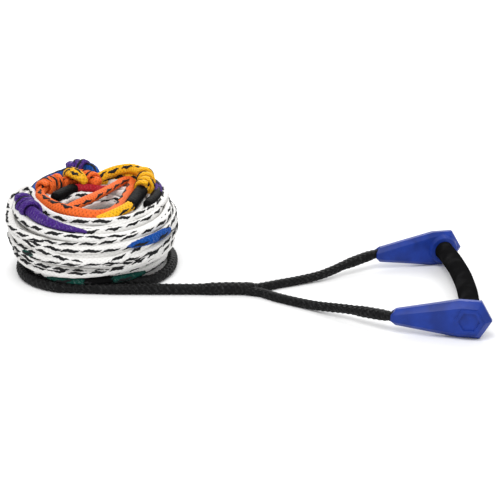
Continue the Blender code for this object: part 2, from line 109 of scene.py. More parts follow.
class Value:
    """A shader value that adds Math nodes when it is used in an expression."""

    def __init__(self, finish, socket):
        self.finish = finish
        self.socket = socket

    def math(self, operation, *others):
        sockets = dict(enumerate((self, *others)))
        return self.finish.node("ShaderNodeMath", sockets, operation=operation)

    def __add__(self, other):
        return self.math("ADD", other)

    def __sub__(self, other):
        return self.math("SUBTRACT", other)

    def __rsub__(self, other):
        return self.finish.node("ShaderNodeMath", {0: other, 1: self}, operation="SUBTRACT")

    def __mul__(self, other):
        return self.math("MULTIPLY", other)

    def __truediv__(self, other):
        return self.math("DIVIDE", other)

    def __mod__(self, other):
        return self.math("FLOORED_MODULO", other)

    def abs(self):
        return self.math("ABSOLUTE")

    def max(self, other):
        return self.math("MAXIMUM", other)

    def sine(self):
        return self.math("SINE")

    def floor(self):
        return self.math("FLOOR")

    def above(self, low, high):
        """0 below low, 1 above high, and smooth between them."""
        sockets = {"Value": self, "From Min": low, "From Max": high}
        return self.finish.node("ShaderNodeMapRange", sockets, interpolation_type="SMOOTHSTEP")

    __radd__ = __add__
    __rmul__ = __mul__


class Finish:
    """One material: a Principled shader and the nodes that feed it."""

    def __init__(self, name, colour, roughness, **constants):
        self.material = bpy.data.materials.new(name)
        self.material.use_nodes = True
        self.tree = self.material.node_tree
        self.shader = self.tree.nodes["Principled BSDF"]
        self.set("Base Color", (*colour, 1.0))
        self.set("Roughness", roughness)
        for key, value in constants.items():
            self.set(key.replace("_", " ").title().replace("Ior", "IOR"), value)
        self.material.diffuse_color = (*colour, 1.0)

    def connect(self, socket, value):
        if isinstance(value, Value):
            self.tree.links.new(value.socket, socket)
        else:
            socket.default_value = value

    def set(self, name, value):
        self.connect(self.shader.inputs[name], value)

    def node(self, kind, sockets=None, output=0, **settings):
        """A node of any type, its settings set before its sockets."""
        made = self.tree.nodes.new(kind)
        for key, value in settings.items():
            setattr(made, key, value)
        for key, value in (sockets or {}).items():
            self.connect(made.inputs[key], value)
        return Value(self, made.outputs[output])

    def noise(self, scale, detail, where=None):
        sockets = {"Vector": where or self.place(), "Scale": scale, "Detail": detail}
        return self.node("ShaderNodeTexNoise", sockets)

    def place(self):
        return self.node("ShaderNodeTexCoord", output=3)

    def mix(self, factor, first, second):
        """A colour between two colours."""
        sockets = {0: factor, 6: first, 7: second}
        return self.node("ShaderNodeMix", sockets, output=2, data_type="RGBA")

    def bump(self, height, distance):
        return self.node("ShaderNodeBump", {"Height": height, "Distance": distance, "Strength": 1.0})

    def along_rope(self):
        """How far round the rope a point is, in turns, and how far along it, in metres."""
        layer = self.node("ShaderNodeUVMap", uv_map="rope")
        parts = self.tree.nodes.new("ShaderNodeSeparateXYZ")
        self.tree.links.new(layer.socket, parts.inputs[0])
        return Value(self, parts.outputs[0]), Value(self, parts.outputs[1])


def shade(colour, share):
    return tuple(share * part for part in colour) + (1.0,)


# A colour mixed towards white, for painted highlights.
def highlight_tint(colour, share):
    return tuple(part + (1 - part) * share for part in colour) + (1.0,)


def plaited(name, colour, depth, pale, dark, strands=6, lay=0.038, highlight_streaks=0.5, rough=0.55, gloss=0.25):
    """Plaited line: two families of flat strands that pass over and under each other, with fine filaments.

    pale is how far the painted highlights, pale streaks on the raised strand crowns, go towards white; dark
    is the share of the colour left in the gaps between the strands, as painted shade.
    """
    finish = Finish(name, colour, rough, specular_ior_level=gloss)
    around, along = finish.along_rope()
    left = (around + along / lay) * strands
    right = (around - along / lay) * strands
    left_up = (left * math.pi).sine()
    right_up = (right * math.pi).sine()
    odd_left = (left.floor() % 2) * 2 - 1
    odd_right = (right.floor() % 2) * 2 - 1
    left_crown = 1 - ((left % 1.0) - 0.5).abs() * 1.5
    right_crown = 1 - ((right % 1.0) - 0.5).abs() * 1.5
    left_high = left_crown * 0.6 + right_up * odd_left * 0.4
    right_high = right_crown * 0.6 - left_up * odd_right * 0.4
    height = left_high.max(right_high)
    filaments = finish.noise(520.0, 2.0)
    worn = finish.noise(55.0, 3.0)
    slanted = finish.node("ShaderNodeCombineXYZ", {"X": (around + along / lay) * 22, "Y": along * 170})
    highlight_flecks = finish.noise(1.0, 2.0, slanted)
    # Painted shade: the gaps between the strands are darkened to the dark share of the colour.
    low = finish.mix(height.above(0.15, 0.75), shade(colour, dark), shade(colour, 1.0))
    # Painted highlight: pale streaks laid only on the raised strand crowns, as glints on the fibres.
    lit = finish.mix(highlight_flecks.above(0.54, 0.64) * highlight_streaks * height.above(0.2, 0.7), low, highlight_tint(colour, pale))
    finish.set("Base Color", finish.mix(worn.above(0.45, 0.7) * 0.22, lit, shade(colour, 0.78)))
    finish.set("Roughness", filaments * 0.25 + (rough - 0.1))
    finish.set("Normal", finish.bump(height + filaments * 0.22, depth))
    return finish.material


def tracer_fibre():
    """The dark tracer strand, with filaments only."""
    colour = (0.010, 0.010, 0.011)
    finish = Finish("tracer_black", colour, 0.6, specular_ior_level=0.15)
    filaments = finish.noise(900.0, 2.0)
    worn = filaments.above(0.5, 0.75) * 0.6
    finish.set("Base Color", finish.mix(worn, shade(colour, 1.0), shade(colour, 2.6)))
    finish.set("Normal", finish.bump(filaments, 0.0003))
    return finish.material


def moulded_polymer():
    """Blue moulded caps: a soft sheen with the fine orange peel of a mould."""
    colour = (0.0068, 0.031, 0.240)
    finish = Finish("moulded_blue", colour, 0.36, specular_ior_level=0.22)
    fine = finish.noise(1400.0, 2.0)
    broad = finish.noise(38.0, 3.0)
    blotch = finish.noise(140.0, 3.0)
    base = finish.mix(broad.above(0.35, 0.7), shade(colour, 0.82), shade(colour, 1.22))
    finish.set("Base Color", finish.mix(blotch.above(0.55, 0.75) * 0.25, base, (0.012, 0.046, 0.30, 1.0)))
    finish.set("Roughness", fine * 0.16 + blotch * 0.10 + 0.25)
    finish.set("Normal", finish.bump(fine + broad * 0.6, 0.00012))
    return finish.material


def grip_foam():
    colour = (0.0085, 0.0085, 0.0088)
    finish = Finish("black_foam", colour, 0.9, specular_ior_level=0.0)
    cells = finish.node("ShaderNodeTexVoronoi", {"Vector": finish.place(), "Scale": 900.0})
    broad = finish.noise(45.0, 4.0)
    finish.set("Base Color", finish.mix(broad.above(0.4, 0.75), shade(colour, 0.8), shade(colour, 1.7)))
    finish.set("Roughness", broad * 0.15 + 0.80)
    finish.set("Normal", finish.bump(cells + broad * 0.8, 0.00025))
    return finish.material


def shrunk_sleeve():
    """Heat-shrunk sleeve: smooth black film that follows the plait below it."""
    colour = (0.0040, 0.0040, 0.0042)
    finish = Finish("black_sleeve", colour, 0.38, specular_ior_level=0.02)
    ripples = finish.noise(240.0, 2.0)
    scuffs = finish.noise(700.0, 4.0)
    scuffed = scuffs.above(0.62, 0.8) * 0.5
    finish.set("Base Color", finish.mix(scuffed, shade(colour, 1.0), shade(colour, 2.4)))
    finish.set("Roughness", scuffs * 0.35 + 0.22)
    finish.set("Normal", finish.bump(ripples, 0.0006))
    return finish.material


def drawn_tube():
    finish = Finish("bare_aluminium", (0.72, 0.72, 0.73), 0.35, metallic=1.0)
    lines = finish.noise(600.0, 2.0)
    finish.set("Roughness", lines * 0.2 + 0.25)
    finish.set("Normal", finish.bump(lines, 0.00008))
    return finish.material


def plug_plastic():
    finish = Finish("black_plug", (0.015, 0.015, 0.015), 0.5)
    fine = finish.noise(1500.0, 2.0)
    finish.set("Roughness", fine * 0.2 + 0.4)
    finish.set("Normal", finish.bump(fine, 0.0001))
    return finish.material


def floor_paint():
    return Finish("floor_white", (0.97, 0.97, 0.97), 0.9).material


BLACK = (0.0045, 0.0045, 0.0048)
WHITE = (0.80, 0.79, 0.77)
ORANGE = (0.86, 0.148, 0.024)
YELLOW = (0.90, 0.455, 0.010)
PURPLE = (0.056, 0.016, 0.195)
BLUE = (0.003, 0.066, 0.320)
GREEN = (0.0003, 0.058, 0.043)
RED = (0.42, 0.010, 0.022)

finishes = {
    "black_rope": plaited("black_rope", BLACK, depth=0.0011, pale=0.040, dark=0.15, strands=5, lay=0.046,
                          highlight_streaks=0.55, rough=0.48, gloss=0.12),
    "white_rope": plaited("white_rope", WHITE, depth=0.00045, pale=0.45, dark=0.84, strands=7, lay=0.052),
    "tracer": tracer_fibre(),
    "moulded_blue": moulded_polymer(),
    "black_foam": grip_foam(),
    "black_sleeve": shrunk_sleeve(),
    "bare_aluminium": drawn_tube(),
    "black_plug": plug_plastic(),
    "floor": floor_paint(),
}
# The third value is how far each colour's painted highlights go towards white.
for rope_name, rope_colour, highlight_flecks in (
    ("orange_rope", ORANGE, 0.035), ("yellow_rope", YELLOW, 0.08), ("purple_rope", PURPLE, 0.13),
    ("blue_rope", BLUE, 0.09), ("green_rope", GREEN, 0.10), ("red_rope", RED, 0.05),
):
    finishes[rope_name] = plaited(rope_name, rope_colour, depth=0.0008, pale=highlight_flecks, dark=0.55, highlight_streaks=0.75,
                                  gloss=0.10)


# ---------------------------------------------------------------- sweeping


def smooth_route(route, spacing):
    """Points at an even spacing along one smooth curve through the route's points."""
    points = np.array(route, float)
    ends = np.vstack([2 * points[0] - points[1], points, 2 * points[-1] - points[-2]])
    fine = []
    for index in range(1, len(ends) - 2):
        a, b, c, d = ends[index - 1 : index + 3]
        for t in np.arange(0, 1, 1 / 24):
            fine.append(0.5 * (2 * b + (c - a) * t + (2 * a - 5 * b + 4 * c - d) * t**2
                               + (3 * b - a - 3 * c + d) * t**3))
    return evenly(np.array(fine + [points[-1]]), spacing)


def distances(points):
    steps = np.linalg.norm(np.diff(points, axis=0), axis=1)
    return np.concatenate([[0], np.cumsum(steps)])


def evenly(points, spacing):
    along = distances(points)
    count = max(4, round(along[-1] / spacing) + 1)
    wanted = np.linspace(0, along[-1], count)
    return np.stack([np.interp(wanted, along, points[:, axis]) for axis in range(3)], axis=1)


def unit(vectors):
    return vectors / np.maximum(np.linalg.norm(vectors, axis=-1, keepdims=True), 1e-12)


def crossing_frame(points, outward):
    """For each point, the direction along the rope, across its flat side, and out of it."""
    forward = unit(np.gradient(points, axis=0))
    across = unit(np.cross(forward, outward))
    return forward, across, np.cross(across, forward)


def plait_height(around, along, strands, lay):
    """Height, 0 to 1, of round strands plaited over and under each other."""
    left = strands * (around + along / lay)
    right = strands * (around - along / lay)
    odd_left = 1 - 2 * (np.floor(left) % 2)
    odd_right = 1 - 2 * (np.floor(right) % 2)
    left_crown = np.sqrt(np.clip(1 - (2 * (left % 1) - 1) ** 2, 0, 1))
    right_crown = np.sqrt(np.clip(1 - (2 * (right % 1) - 1) ** 2, 0, 1))
    left_high = 0.55 * left_crown + 0.45 * odd_left * np.sin(math.pi * right)
    right_high = 0.55 * right_crown - 0.45 * odd_right * np.sin(math.pi * left)
    return np.clip(np.maximum(left_high, right_high), 0, 1)


def new_piece(name, mesh, finish_names, nodes=(), body=ROPE):
    """A piece that rides on a body, in its finishes, in place of the solids it stands for."""
    for finish_name in finish_names:
        mesh.materials.append(finishes[finish_name])
    piece = bpy.data.objects.new(name, mesh)
    bpy.context.scene.collection.objects.link(piece)
    if body:
        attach(piece, body)
    if nodes:
        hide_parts(*nodes)
    return piece


class Skin:
    """Collects swept tubes and patches that end up in one mesh."""

    def __init__(self):
        self.verts = []
        self.faces = []
        self.uvs = []
        self.slots = []
        self.count = 0

    def grid(self, rings, along, slot=0, closed=True, capped=True):
        """A strip of rings; closed joins each ring's last point to its first."""
        rows, sides = rings.shape[:2]
        first = self.count
        self.verts.append(rings.reshape(-1, 3))
        self.count += rows * sides
        last = sides if closed else sides - 1
        row, side = np.meshgrid(np.arange(rows - 1), np.arange(last), indexing="ij")
        after = (side + 1) % sides
        near, far = row * sides, (row + 1) * sides
        corners = [near + side, near + after, far + after, far + side]
        self.faces += (first + np.stack(corners, axis=-1).reshape(-1, 4)).tolist()
        turn, next_turn = side / sides, (side + 1) / sides
        low, high = along[row], along[row + 1]
        uv = np.stack([turn, low, next_turn, low, next_turn, high, turn, high], axis=-1)
        self.uvs.append(uv.reshape(-1, 2))
        self.slots += [slot] * row.size
        if capped:
            for start, where in ((first, along[0]), (first + (rows - 1) * sides, along[-1])):
                loop = list(range(start, start + sides))
                self.faces.append(loop[::-1] if start == first else loop)
                self.uvs.append(np.array([[step / sides, where] for step in range(sides)]))
                self.slots.append(slot)

    def mesh(self, name):
        made = bpy.data.meshes.new(name)
        made.from_pydata(np.concatenate(self.verts).tolist(), [], self.faces)
        layer = made.uv_layers.new(name="rope")
        layer.uv.foreach_set("vector", np.concatenate(self.uvs).astype(np.float32).ravel())
        made.polygons.foreach_set("material_index", self.slots)
        made.shade_smooth()
        made.update()
        return made


END_BENDS = [86, 62, 35]  # a tube's end rings lie at these angles, in degrees, on its rounded end
END_LONG = 0.45  # the rounded end's length, as a share of the tube's thickness


def tube(skin, points, outward, wide, thick, sides, relief=0.0, strands=6, lay=0.040, squareness=0.9):
    """A plaited oval tube; wide and thick may change along it. Its round ends close it."""
    count = len(points)
    wide = np.broadcast_to(np.asarray(wide, float), (count,))
    thick = np.broadcast_to(np.asarray(thick, float), (count,))
    outward = np.broadcast_to(np.asarray(outward, float), (count, 3))
    forward, across, out = crossing_frame(points, outward)
    bends = np.radians(END_BENDS)
    lift = np.sin(bends)[:, None] * END_LONG
    head = points[0] - forward[0] * thick[0] * lift
    tail = points[-1] + forward[-1] * thick[-1] * lift[::-1]
    points = np.vstack([head, points, tail])
    wide = np.concatenate([wide[0] * np.cos(bends), wide, wide[-1] * np.cos(bends[::-1])])
    thick = np.concatenate([thick[0] * np.cos(bends), thick, thick[-1] * np.cos(bends[::-1])])
    rings_added = len(END_BENDS)
    across = np.vstack([across[[0] * rings_added], across, across[[-1] * rings_added]])
    out = np.vstack([out[[0] * rings_added], out, out[[-1] * rings_added]])
    along = distances(points)
    turn = 2 * math.pi * np.arange(sides) / sides
    cos, sin = np.cos(turn), np.sin(turn)
    side_share = np.sign(cos) * np.abs(cos) ** squareness
    out_share = np.sign(sin) * np.abs(sin) ** squareness
    height = plait_height(np.arange(sides)[None, :] / sides, along[:, None], strands, lay) - 0.5
    fade = np.minimum(1, np.minimum(wide, thick) / (max(thick.max(), 1e-6) * 0.8))
    reach = height * relief * fade[:, None]
    half_wide = wide[:, None] / 2 + reach
    half_thick = thick[:, None] / 2 + reach
    rings = (points[:, None, :] + across[:, None, :] * (half_wide * side_share)[:, :, None]
             + out[:, None, :] * (half_thick * out_share)[:, :, None])
    skin.grid(rings, along)


TRACER_SLOT = 1
DASH_STEPS = 10
DASH_PROUD = 0.0009
DASH_EDGE_PROUD = 0.0003


def tracer(skin, points, outward, wide, thick, seed, every=0.0290, long=0.0285, face=0.0, swing=0.0,
           broad=0.0040, squareness=0.9, bare=()):
    """Dashes of one dark strand where it comes over the others, as thin patches that follow the rope."""
    rng = random.Random(seed)
    along = distances(points)
    outward = np.broadcast_to(np.asarray(outward, float), (len(points), 3))
    forward, across, out = crossing_frame(points, outward)
    wide = np.broadcast_to(np.asarray(wide, float), (len(points),))
    thick = np.broadcast_to(np.asarray(thick, float), (len(points),))

    def surface(where, side):
        """The point on the rope's skin this far along it and this many turns round it."""
        spot = np.array([np.interp(where, along, points[:, axis]) for axis in range(3)])
        flat = np.array([np.interp(where, along, across[:, axis]) for axis in range(3)])
        up = np.array([np.interp(where, along, out[:, axis]) for axis in range(3)])
        half_wide = np.interp(where, along, wide) / 2
        half_thick = np.interp(where, along, thick) / 2
        cos, sin = math.cos(2 * math.pi * side), math.sin(2 * math.pi * side)
        flat_share = math.copysign(abs(cos) ** squareness, cos)
        up_share = math.copysign(abs(sin) ** squareness, sin)
        return spot + flat * half_wide * flat_share + up * half_thick * up_share, flat * cos + up * sin

    girth = math.pi * (float(np.mean(wide)) + float(np.mean(thick))) / 2
    middle = every * (0.4 + 0.5 * rng.random())
    while middle + long / 2 < along[-1]:
        length = long * rng.uniform(0.80, 1.10)
        lean = rng.uniform(-0.3, 0.6) * broad
        wander = swing * math.sin(2 * math.pi * middle / SWING_LONG + seed)
        centre = 0.25 + face + wander + rng.uniform(-0.015, 0.015)
        stitch = rng.uniform(1.2, 1.8)
        rows = []
        for step in range(DASH_STEPS + 1):
            share = step / DASH_STEPS - 0.5
            where = min(max(middle + length * share, 0), along[-1])
            body = 1.08 - (2 * abs(share)) ** 1.8
            jog = 0.20 * math.sin(2 * math.pi * stitch * share + seed) + 0.08 * (-1) ** step
            row = []
            for edge in (-1, -0.45, 0.45, 1):
                side = centre + (2 * lean * share + (edge * body / 2 + jog) * broad) / girth
                spot, normal = surface(where, side)
                row.append(spot + normal * (DASH_PROUD if abs(edge) < 1 else DASH_EDGE_PROUD))
            rows.append(row)
        if not any(first < middle / along[-1] < last for first, last in bare):
            skin.grid(np.array(rows), np.full(len(rows), middle), TRACER_SLOT, closed=False, capped=False)
        middle += every * rng.uniform(0.88, 1.15)


# ---------------------------------------------------------------- camera, light and floor


CAMERA_LENS = 95.8
CAMERA_PLACE = (-0.2656, -1.8438, 0.7505)
CAMERA_TILT = math.radians(69.9)
FLOOR_DOWN = 0.0004
# Each light: where it is, what it points at, its side and its power in watts.
STAGE_MIDDLE = (-0.256, 0.05, 0.03)
LIGHTS = {
    "key": ((-0.7, -0.9, 2.0), STAGE_MIDDLE, 1.2, 27),
    "fill": ((1.1, -0.9, 1.3), STAGE_MIDDLE, 1.6, 7),
    "back": ((0.2, 1.6, 1.5), STAGE_MIDDLE, 1.6, 9),
    "far floor": ((-0.3, 3.3, 1.7), (-0.3, 3.1, 0.0), 3.0, 70),
}


def make_camera():
    data = bpy.data.cameras.new("camera")
    data.lens = CAMERA_LENS
    data.sensor_width = 36.0
    camera = bpy.data.objects.new("camera", data)
    camera.location = CAMERA_PLACE
    camera.rotation_euler = (CAMERA_TILT, 0, 0)
    bpy.context.scene.collection.objects.link(camera)
    bpy.context.scene.camera = camera


def make_light(name, place, target, size, power):
    data = bpy.data.lights.new(name, "AREA")
    data.size = size
    data.energy = power
    light = bpy.data.objects.new(name, data)
    light.location = place
    light.rotation_euler = (Vector(target) - Vector(place)).to_track_quat("-Z", "Y").to_euler()
    bpy.context.scene.collection.objects.link(light)


def make_studio():
    bpy.context.scene.view_settings.view_transform = "Standard"
    world = bpy.data.worlds.new("studio")
    world.use_nodes = True
    sky = world.node_tree.nodes["Background"]
    sky.inputs["Color"].default_value = (1.0, 1.0, 1.0, 1.0)
    sky.inputs["Strength"].default_value = 0.62
    bpy.context.scene.world = world
    for name, settings in LIGHTS.items():
        make_light(name, *settings)
    bm = bmesh.new()
    bmesh.ops.create_grid(bm, x_segments=1, y_segments=1, size=6.0)
    mesh = bpy.data.meshes.new("floor")
    bm.to_mesh(mesh)
    bm.free()
    floor = new_piece("floor", mesh, ["floor"], body=None)
    floor.location = (0, 0, -FLOOR_DOWN)


# ---------------------------------------------------------------- black handle rope

# The two legs: x, y and how far the leg is off the floor.
LEG_ROUTES = {
    "front": [(-0.247, 0.0035, 0.0), (-0.235, -0.006, 0.0), (-0.222, -0.0165, 0.0),
              (-0.192, -0.036, 0.0004), (-0.167, -0.053, 0.0023), (-0.143, -0.071, 0.0068),
              (-0.120, -0.088, 0.0108)],
    "rear": [(-0.247, 0.0275, 0.0), (-0.234, 0.034, 0.0), (-0.220, 0.0412, 0.0),
             (-0.189, 0.0555, 0.0004), (-0.160, 0.069, 0.0023), (-0.137, 0.083, 0.0058),
             (-0.118, 0.0955, 0.0098)],
}
THROAT_FROM_X = -0.332
CROTCH_X = -0.2640
IN_THE_MOUTH = 0.016
MOUTH_NARROWS = 0.0022
OFF_FLOOR = 0.0003


def leg_points(side_name, side):
    """From inside the cap's mouth down to the throat."""
    hinge = np.array([HINGE_X, side * HINGE_Y, HINGE_Z])
    into_cap = np.array([math.cos(SPLAY), side * math.sin(SPLAY), MOUTH_DROP / HINGE_REACH])
    low = LEG_D / 2 + OFF_FLOOR
    route = [(CROTCH_X - 0.006, STEM_Y + side * 0.0052, low + 0.0012), (-0.2555, STEM_Y + side * 0.0082, low)]
    route += [(x, y, low + lift) for x, y, lift in LEG_ROUTES[side_name]]
    route += [tuple(hinge), tuple(hinge + into_cap * IN_THE_MOUTH)]
    return smooth_route(route, 0.0011)[::-1]


def make_leg(side_name, side):
    points = leg_points(side_name, side)
    along = distances(points)
    from_hinge = along - IN_THE_MOUTH
    splice = np.clip((LEG_SPLICE_LONG + 0.012 - from_hinge) / 0.016, 0, 1)
    thin_mouth = np.clip((0.010 - from_hinge) / 0.012, 0, 1)
    width = LEG_D + (LEG_SPLICE_D - LEG_D) * splice - MOUTH_NARROWS * thin_mouth
    skin = Skin()
    tube(skin, points, (0, 0, 1), width, width, 44, relief=2 * PLAIT_RELIEF, strands=5, lay=0.044)
    mesh = skin.mesh(f"bridle_leg_{side_name}_rope")
    nodes = [f"bridle_leg_{side_name}", f"leg_splice_{side_name}"]
    leg = new_piece(mesh.name, mesh, ["black_rope"], nodes, body=None)
    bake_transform(leg)


def foot_points():
    """From the throat along the floor, once round the coil's foot and on under the coil."""
    z = STEM_D / 2 + OFF_FLOOR
    points = [(x, STEM_Y, z + 0.0012 * max(0, min(1, (x - THROAT_FROM_X) / 0.03)))
              for x in np.arange(CROTCH_X, COIL_X + 0.045, -0.004)]
    for degrees in range(-112, -441, -4):
        turn = math.radians(degrees)
        sides = abs(math.cos(turn)) ** FOOT_SQUARE + abs(math.sin(turn)) ** FOOT_SQUARE
        reach = sides ** (-1 / FOOT_SQUARE)
        inward = np.clip((-400 - degrees) / 26, 0, 1)
        radius = FOOT_RING_R * (1 + (reach - 1) * 0.8) * (1 - inward) + INNER_RING_R * inward
        points.append((COIL_X + FOOT_SHIFT + radius * math.cos(turn), COIL_Y + radius * math.sin(turn), z))
    for degrees in range(-446, -560, -6):
        turn = math.radians(degrees)
        points.append((COIL_X + INNER_RING_R * math.cos(turn), COIL_Y + INNER_RING_R * math.sin(turn), z))
    return evenly(np.array(points), 0.0012)


def make_handle_rope():
    points = foot_points()
    along = distances(points)
    to_throat = THROAT_FROM_X - CROTCH_X
    share = np.clip((points[:, 0] - CROTCH_X) / to_throat, 0, 1)
    swell = np.where(points[:, 1] < STEM_Y + 0.001, np.clip((1 - share) / 0.12, 0, 1), 0)
    bulge = np.exp(-((along + to_throat) / 0.010) ** 2)
    wide = STEM_D + swell * (THROAT_D + 0.001 - STEM_D) + bulge * 0.0016
    thick = STEM_D + swell * (THROAT_D - STEM_D) + bulge * 0.0012
    skin = Skin()
    tube(skin, points, (0, 0, 1), wide, thick, 40, relief=2 * PLAIT_RELIEF, strands=5, lay=0.050)
    nodes = ["throat_splice", "handle_stem", "foot_turn"]
    rope = new_piece("handle_rope", skin.mesh("handle_rope"), ["black_rope"], nodes)


# ---------------------------------------------------------------- white tow line


RADIUS_HEIGHTS = [0.018, 0.030, 0.046, 0.084, 0.098]
OUTER_RADII = [0.112, 0.1145, 0.1305, 0.1305, 0.121]
HOLE_R = 0.0715
POINTS_PER_TURN = 110
# Places deep in the winding, by layer and row, that stay empty so that the line isn't longer than a real one.
EMPTY_PLACES = {(2, 3), (2, 4), (2, 5)}


def outer_radius(height):
    """The coil's outside: narrow at the foot, widest above the middle, and drawn in at the top."""
    return float(np.interp(height, RADIUS_HEIGHTS, OUTER_RADII))


def coil_turns():
    """The middle of each turn's own place in the winding: radius and height, from the inside out."""
    heights = [FIRST_ROW_Z + ROW_UP * row for row in range(ROWS)]
    turns = []
    for layer in range(LAYERS - 1, -1, -1):
        rows = range(ROWS) if layer % 2 == 0 else range(ROWS - 1, -1, -1)
        for row in rows:
            radius = outer_radius(heights[row]) - LINE_THICK / 2 - LAYER_IN * layer
            if radius > HOLE_R and (layer, row) not in EMPTY_PLACES:
                turns.append((radius, heights[row], layer, row))
    return turns


def coil_points(turns, seed):
    """One winding through these turns; it steps to the next one at the back of the coil."""
    rng = random.Random(seed)
    wander = []
    for radius, height, layer, row in turns:
        outer = layer == 0
        room = min(1.0, max(0.35, (height - FIRST_ROW_Z + 0.008) / 0.030))
        if outer:
            off_line = 0.0016 * (-1) ** row + rng.uniform(-0.0008, 0.0008)
        else:
            off_line = rng.uniform(-0.0006, 0.0006)
        wander.append([
            radius + off_line,
            height,
            room * rng.uniform(0.0026, 0.0050) if outer else rng.uniform(0.0004, 0.0012),
            rng.uniform(0, 2 * math.pi),
            room * rng.uniform(0.0016, 0.0038) if outer else 0.0004,
            rng.uniform(0, 2 * math.pi),
            rng.uniform(0.15, 0.45) * rng.choice((-1, 1)),
            rng.uniform(0, 2 * math.pi),
        ])
    wander = np.array(wander)
    following = np.vstack([wander[1:], wander[-1:]])
    share = np.arange(POINTS_PER_TURN) / POINTS_PER_TURN
    step_up = np.clip((share - STEP_FROM) / (1 - STEP_FROM), 0, 1)
    step_up = (step_up * step_up * (3 - 2 * step_up))[None, :, None]
    mixed = wander[:, None, :] * (1 - step_up) + following[:, None, :] * step_up
    radius, height, sway, sway_turn, ripple, ripple_turn, twist, twist_turn = np.moveaxis(mixed, -1, 0)
    turn = BACK + 0.35 + 2 * math.pi * share[None, :] + 0 * radius
    height = height + sway * np.sin(turn + sway_turn) + ripple * np.sin(2 * turn + ripple_turn)
    height = height + (COIL_TILT * np.sin(turn) + SIDES_UP * np.cos(2 * turn)) * height / COIL_TOP
    radius = radius + 0.0013 * np.sin(3 * turn + ripple_turn)
    lean = twist * np.sin(2 * turn + twist_turn)
    points = np.stack([COIL_X + radius * np.cos(turn), COIL_Y + radius * np.sin(turn), height], axis=-1)
    outward = np.stack([np.cos(turn) * np.cos(lean), np.sin(turn) * np.cos(lean), np.sin(lean)], axis=-1)
    return points.reshape(-1, 3), outward.reshape(-1, 3)


def make_line():
    turns = coil_turns()
    half = len(turns) // 2
    for name, part, seed in (("white_line_inner", turns[:half], 4), ("white_line_outer", turns[half:], 9)):
        points, outward = coil_points(part, seed)
        skin = Skin()
        uneven = 1 + LINE_UNEVEN * np.sin(np.arange(len(points)) * 2.1)
        tube(skin, points, outward, LINE_HIGH * uneven, LINE_THICK * uneven, 14, squareness=LINE_SQUARENESS)
        tracer(skin, points, outward, LINE_HIGH, LINE_THICK, seed, swing=0.13, squareness=LINE_SQUARENESS)
        line = new_piece(name, skin.mesh(name), ["white_rope", "tracer"], ["mainline_coil"])
    for name in STRAY_TURNS:
        make_stray(name)


# Turns that were thrown over the winding last and dip across its front: angle round the coil and height.
STRAY_TURNS = {
    "white_line_upper_stray": [(84, 0.080), (120, 0.088), (150, 0.094), (180, 0.092), (216, 0.0835),
                               (228, 0.0745), (238, 0.0690), (247, 0.0630), (263, 0.0545), (280, 0.0510),
                               (295, 0.0565), (307, 0.0650), (327, 0.0770), (350, 0.0850), (385, 0.088),
                               (440, 0.080)],
    "white_line_lower_stray": [(84, 0.056), (130, 0.062), (180, 0.062), (212, 0.0580), (228, 0.0470),
                               (246, 0.0385), (270, 0.0345), (292, 0.0370), (308, 0.0430), (326, 0.0540),
                               (345, 0.0630), (390, 0.066), (440, 0.056)],
}
STRAY_WIDE = 0.0115
STRAY_THICK = 0.0095
STRAY_IN = 0.0022
STRAY_TUCKED_IN = 0.012


def make_stray(name):
    angles, heights = np.array(STRAY_TURNS[name]).T
    degrees = np.linspace(angles[0], angles[-1], 90)
    height = np.interp(degrees, angles, heights)
    height = np.convolve(np.pad(height, 3, mode="edge"), np.ones(7) / 7, mode="valid")
    tucked = np.clip(np.minimum(degrees - angles[0], angles[-1] - degrees) / 30, 0, 1)
    radius = np.array([outer_radius(up) for up in height]) - STRAY_IN - STRAY_TUCKED_IN * (1 - tucked)
    turn = np.radians(degrees)
    points = np.stack([COIL_X + radius * np.cos(turn), COIL_Y + radius * np.sin(turn), height], axis=1)
    points = evenly(points, 0.003)
    outward = points - np.array([COIL_X, COIL_Y, 0.0])
    outward[:, 2] = 0
    skin = Skin()
    tube(skin, points, outward, STRAY_WIDE, STRAY_THICK, 16, squareness=LINE_SQUARENESS)
    tracer(skin, points, outward, STRAY_WIDE, STRAY_THICK, len(name), face=0.06, swing=0.06,
           squareness=LINE_SQUARENESS)
    stray = new_piece(name, skin.mesh(name), ["white_rope", "tracer"], ["mainline_coil"])


# ---------------------------------------------------------------- coloured take-off sections


def on_coil(route):
    """A route measured from the middle of the coil's top."""
    return [(COIL_X + x, COIL_Y + y, COIL_TOP + z) for x, y, z in route]


